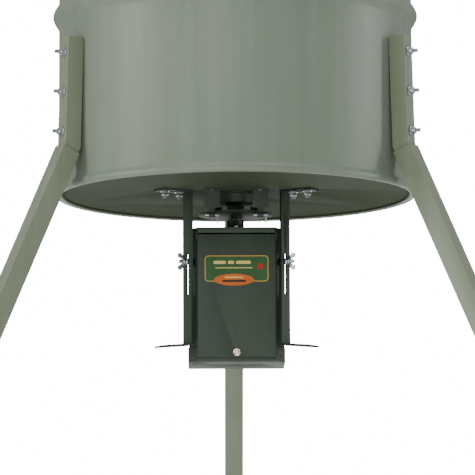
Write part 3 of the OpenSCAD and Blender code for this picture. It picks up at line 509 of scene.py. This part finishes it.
def makeWingNut():
    # a cast hub with two rounded ears, fused and smoothed the way a casting blends
    w = wing
    hub = lathe([(w["hubBase"] * 0.94, 0), (w["hubBase"], 0.8 * mm), (w["hubBase"] * 0.97, 2.8 * mm),
                 (w["hubTop"], 4.2 * mm), (w["hubTop"], 7 * mm), (w["hubTop"] * 0.9, w["hubHeight"])], 40)
    parts = [hub]
    for s in (-1, 1):
        bpy.ops.object.select_all(action="DESELECT")
        bpy.ops.mesh.primitive_cylinder_add(vertices=48, radius=w["earR"], depth=w["earT"],
                                            location=(s * w["earOut"], 0, w["earUp"]), rotation=(pi / 2, 0, 0))
        parts.append(bpy.context.object)
        foot = Vector((s * w["webFoot"][0], 0, w["webFoot"][1]))
        web = Vector((s * w["earOut"], 0, w["earUp"])) - foot
        lean = s * web.angle(Vector((0, 0, 1)))
        bpy.ops.object.select_all(action="DESELECT")
        bpy.ops.mesh.primitive_cone_add(vertices=40, radius1=w["webR"] * 1.1, radius2=w["webR"] * 0.86,
                                        depth=web.length, location=foot + web / 2, rotation=(0, lean, 0))
        bpy.ops.transform.resize(value=(1, 0.5 * w["earT"] / w["webR"], 1), center_override=foot + web / 2)
        parts.append(bpy.context.object)
    for part in parts:
        only(part)
        bpy.ops.object.transform_apply(location=True, rotation=True, scale=True)
    nut = joined(parts)
    applied(nut, "REMESH", mode="VOXEL", voxel_size=w["voxel"])
    applied(nut, "SMOOTH", factor=0.5, iterations=9)
    hole = lathe([(w["bore"], -4 * mm), (w["bore"], 20 * mm)], 40)
    applied(nut, "BOOLEAN", operation="DIFFERENCE", object=hole, solver="EXACT")
    bpy.data.objects.remove(hole)
    return nut


wingNut = makeWingNut()
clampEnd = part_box("clamp_bolts")[1].y - axisY
clampZ = (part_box("wing_nut_rear")[0].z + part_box("wing_nut_rear")[1].z) / 2
clampRod = threadedRod(wing["rodR"], clampEnd - wing["rodStart"])
for side, angle in directions.items():
    twin = copyOf(wingNut)
    twin.data.transform(Matrix.Rotation(radians(90), 4, "Z"))
    turned(twin, angle, wing["seat"], clampZ)
    finished(twin, "wingNut" + side.capitalize(), "wing_" + side, finishes["wing_zinc"],
             ["wing_nut_" + side], smooth=60)
rods = [turned(copyOf(clampRod), angle, wing["rodStart"], clampZ) for angle in directions.values()]
finished(joined(rods), "clampBoltThreads", "unit", finishes["zinc"])
for spare in (wingNut, clampRod):
    bpy.data.objects.remove(spare)
print("wing nuts made")


# control box: how far each piece's edges are rounded, in millimetres
edgeWidths = {
    "box_shell": 0.35, "box_hood": 0.9, "box_base": 0.8, "door_panel": 0.6, "inner_panel": 0.3,
    "guard_tabs": 0.35, "timer_case": 1.2, "battery_case": 1.6, "spinner_plate": 0.3, "spinner_hub": 0.6,
    "motor_bush": 0.3, "lock_cam": 0.25, "jam_nuts": 0.3, "lock_barrel": 0.6, "lock_plug": 0.15,
    "timer_button_left": 0.3, "timer_button_middle": 0.3, "timer_button_right": 0.3,
}
for node, width in edgeWidths.items():
    softCopy(node, width)
print("control box made")


# label: generic shapes in inks, no lettering
label = {"width": 102 * mm, "below": (143 * mm, 101 * mm), "thickness": 0.12 * mm, "cornerR": 6 * mm,
         "border": 1.3 * mm, "badge": (32 * mm, 9.5 * mm), "badgeShift": (-4 * mm, -18 * mm),
         "dotR": 5.0 * mm, "dotShift": (38 * mm, 3.4 * mm)}
# each bar's width, height and place from the label's middle, in millimetres
labelBars = [(20, 5.2, -27, 10), (10, 5.2, -9, 10), (24, 5.2, 11, 10), (60, 1.5, -4, 1.2)]
badgeBars = [(30, 2.4, -14.2, "bar"), (38, 3.6, -20, "dark")]


def flatShape(width, height, corner, x, z, lift, ink, name, segments=8, squash=1.0):
    # a thin plate facing the front: a plane with rounded corners, pulled out to its thickness
    bpy.ops.object.select_all(action="DESELECT")
    bpy.ops.mesh.primitive_plane_add(size=1, location=(0, 0, 0))
    obj = bpy.context.object
    obj.scale = (width, height, 1)
    bpy.ops.object.transform_apply(scale=True)
    bpy.ops.object.mode_set(mode="EDIT")
    bpy.ops.mesh.select_mode(type="VERT")
    bpy.ops.mesh.select_all(action="SELECT")
    bpy.ops.mesh.bevel(offset=corner, offset_type="OFFSET", segments=segments, affect="VERTICES")
    bpy.ops.mesh.select_all(action="SELECT")
    bpy.ops.transform.resize(value=(1, squash, 1), center_override=(0, 0, 0))
    bpy.ops.mesh.extrude_region_move(TRANSFORM_OT_translate={"value": (0, 0, label["thickness"])})
    bpy.ops.mesh.select_all(action="SELECT")
    bpy.ops.mesh.normals_make_consistent(inside=False)
    bpy.ops.object.mode_set(mode="OBJECT")
    place = (x, doorFront - lift, (labelTop + labelBottom) / 2 + z)
    obj.data.transform(Matrix.Translation(place) @ Matrix.Rotation(pi / 2, 4, "X"))
    return finished(obj, name, "door", ink, smooth=30)


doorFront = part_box("door_panel")[0].y
labelBottom, labelTop = [chimeZ - drop for drop in label["below"]]
labelW, labelH = label["width"], labelTop - labelBottom
backing = flatShape(labelW, labelH, label["cornerR"], 0, 0, 0.02 * mm, labelInks["border"], "labelBorder")
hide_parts("door_label")
fieldW, fieldH = [size - 2 * label["border"] for size in (labelW, labelH)]
flatShape(fieldW, fieldH, label["cornerR"] - label["border"], 0, 0, 0.1 * mm, finishes["label_print"],
          "labelField")
for k, (barW, barH, barX, barZ) in enumerate(labelBars):
    flatShape(barW * mm, barH * mm, min(barW, barH) * 0.45 * mm, barX * mm, barZ * mm, 0.18 * mm,
              labelInks["bar"], "labelBar%d" % k, 4)
badgeR, badgeH = label["badge"]
flatShape(2 * badgeR, 2 * badgeR, badgeR * 0.999, *label["badgeShift"], 0.26 * mm, labelInks["badge"],
          "labelBadge", 24, badgeH / badgeR)
for k, (barW, barH, barZ, ink) in enumerate(badgeBars):
    flatShape(barW * mm, barH * mm, barH * 0.45 * mm, label["badgeShift"][0], barZ * mm, 0.34 * mm,
              labelInks[ink], "labelBadgeBar%d" % k, 4)
flatShape(2 * label["dotR"], 2 * label["dotR"], label["dotR"] * 0.999, *label["dotShift"], 0.26 * mm,
          labelInks["dot"], "labelDot", 16)
print("label made")


# the display's four digits, each of seven strokes
digits = {"height": 12 * mm, "width": 6.4 * mm, "stroke": 1.5 * mm, "depth": 0.1 * mm, "inset": 0.82,
          "places": (-14 * mm, -4.5 * mm, 8 * mm, 17.5 * mm)}


def makeDigits():
    low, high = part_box("timer_screen")
    parts = []
    middleX, middleZ = (low.x + high.x) / 2, (low.z + high.z) / 2
    height, wide, stroke = digits["height"], digits["width"], digits["stroke"]
    flat = [(0, dz, wide, stroke) for dz in (0.5, 0, -0.5)]
    upright = [(dx, dz, stroke, height / 2) for dz in (0.25, -0.25) for dx in (-0.5, 0.5)]
    for x in digits["places"]:
        for dx, dz, w, h in flat + upright:
            place = (middleX + x + dx * wide, low.y - 0.02 * mm, middleZ + dz * height)
            bpy.ops.object.select_all(action="DESELECT")
            bpy.ops.mesh.primitive_cube_add(size=1, location=place)
            bar = bpy.context.object
            bar.scale = (w * digits["inset"], digits["depth"], h * digits["inset"])
            bpy.ops.object.transform_apply(location=True, scale=True)
            applied(bar, "BEVEL", width=0.3 * mm, segments=2, affect="EDGES")
            parts.append(bar)
    finished(joined(parts), "displayDigits", "unit", lcdInk, smooth=0)


makeDigits()
print("display made")


# camera, light and floor
view = {"distance": 6.0, "below": 0.86, "lens": 283.5, "sensor": 36, "pitch": 7.55, "azimuth": -0.6,
        "roll": -0.25, "shift": 0.003, "reach": 60}
# strips are angle, distance, width, height and power; the rest are powers
studio = {"world": 0.34, "backdrop": 16.0, "strips": ((-67, 4.5, 0.7, 3.2, 96), (92, 4.5, 0.5, 3.2, 70)),
          "front": 62, "top": 90, "low": 16, "back": 20}


def makeCamera():
    data = bpy.data.cameras.new("camera")
    data.lens = view["lens"]
    data.sensor_width = view["sensor"]
    data.shift_x = view["shift"]
    data.clip_end = view["reach"]
    camera = bpy.data.objects.new("camera", data)
    bpy.context.scene.collection.objects.link(camera)
    turn = radians(view["azimuth"])
    away = view["distance"]
    camera.location = (sin(turn) * away, axisY - cos(turn) * away, chimeZ - view["below"])
    look = (Matrix.Rotation(turn, 4, "Z") @ Matrix.Rotation(radians(90 + view["pitch"]), 4, "X")
            @ Matrix.Rotation(radians(view["roll"]), 4, "Z"))
    camera.rotation_euler = look.to_euler()
    bpy.context.scene.camera = camera


def areaLight(name, place, size, power, target):
    data = bpy.data.lights.new(name, "AREA")
    data.shape, data.size, data.size_y, data.energy = "RECTANGLE", size[0], size[1], power
    light = bpy.data.objects.new(name, data)
    light.location = place
    light.rotation_euler = (Vector(target) - Vector(place)).to_track_quat("-Z", "Y").to_euler()
    bpy.context.scene.collection.objects.link(light)


def makeFloor():
    bpy.ops.object.select_all(action="DESELECT")
    bpy.ops.mesh.primitive_plane_add(size=60, location=(0, 0, -0.5 * mm))
    floor = bpy.context.object
    floor.name = "floor"
    material = newMaterial("pale floor")
    shader = shaderOf(material)
    shader.inputs["Base Color"].default_value = linear("#e9e9e6")
    shader.inputs["Roughness"].default_value = 0.8
    floor.data.materials.append(material)


def makeWorld():
    # even light all round, with a brighter white where the camera looks past the object
    world = bpy.data.worlds.new("studio")
    bpy.context.scene.world = world
    world.use_nodes = True
    tree = world.node_tree
    lighting = tree.nodes["Background"]
    backdrop = tree.nodes.new("ShaderNodeBackground")
    for shader, strength in ((lighting, studio["world"]), (backdrop, studio["backdrop"])):
        shader.inputs["Color"].default_value = (1, 1, 1, 1)
        shader.inputs["Strength"].default_value = strength
    seen = tree.nodes.new("ShaderNodeLightPath")
    mixed = tree.nodes.new("ShaderNodeMixShader")
    tree.links.new(seen.outputs["Is Camera Ray"], mixed.inputs[0])
    tree.links.new(lighting.outputs[0], mixed.inputs[1])
    tree.links.new(backdrop.outputs[0], mixed.inputs[2])
    tree.links.new(mixed.outputs[0], tree.nodes["World Output"].inputs["Surface"])


makeCamera()
target = (0, axisY, chimeZ + 0.4)
for k, (angle, away, wide, tall, power) in enumerate(studio["strips"]):
    areaLight("strip%d" % k, (sin(radians(angle)) * away, axisY - cos(radians(angle)) * away, chimeZ + 0.6),
              (wide, tall), power, target)
areaLight("front", (-0.9, axisY - 5.2, chimeZ + 1.2), (3.4, 2.4), studio["front"], target)
areaLight("low", (0, axisY - 2.6, 0.25), (1.8, 0.5), studio["low"], (0, axisY, chimeZ - 0.3))
areaLight("back", (0, axisY + 4, 0.5), (3, 0.8), studio["back"], (0, axisY, chimeZ - 0.1))
areaLight("top", (0, axisY, chimeZ + 3.5), (3, 3), studio["top"], target)
makeFloor()
makeWorld()
print("stage made")
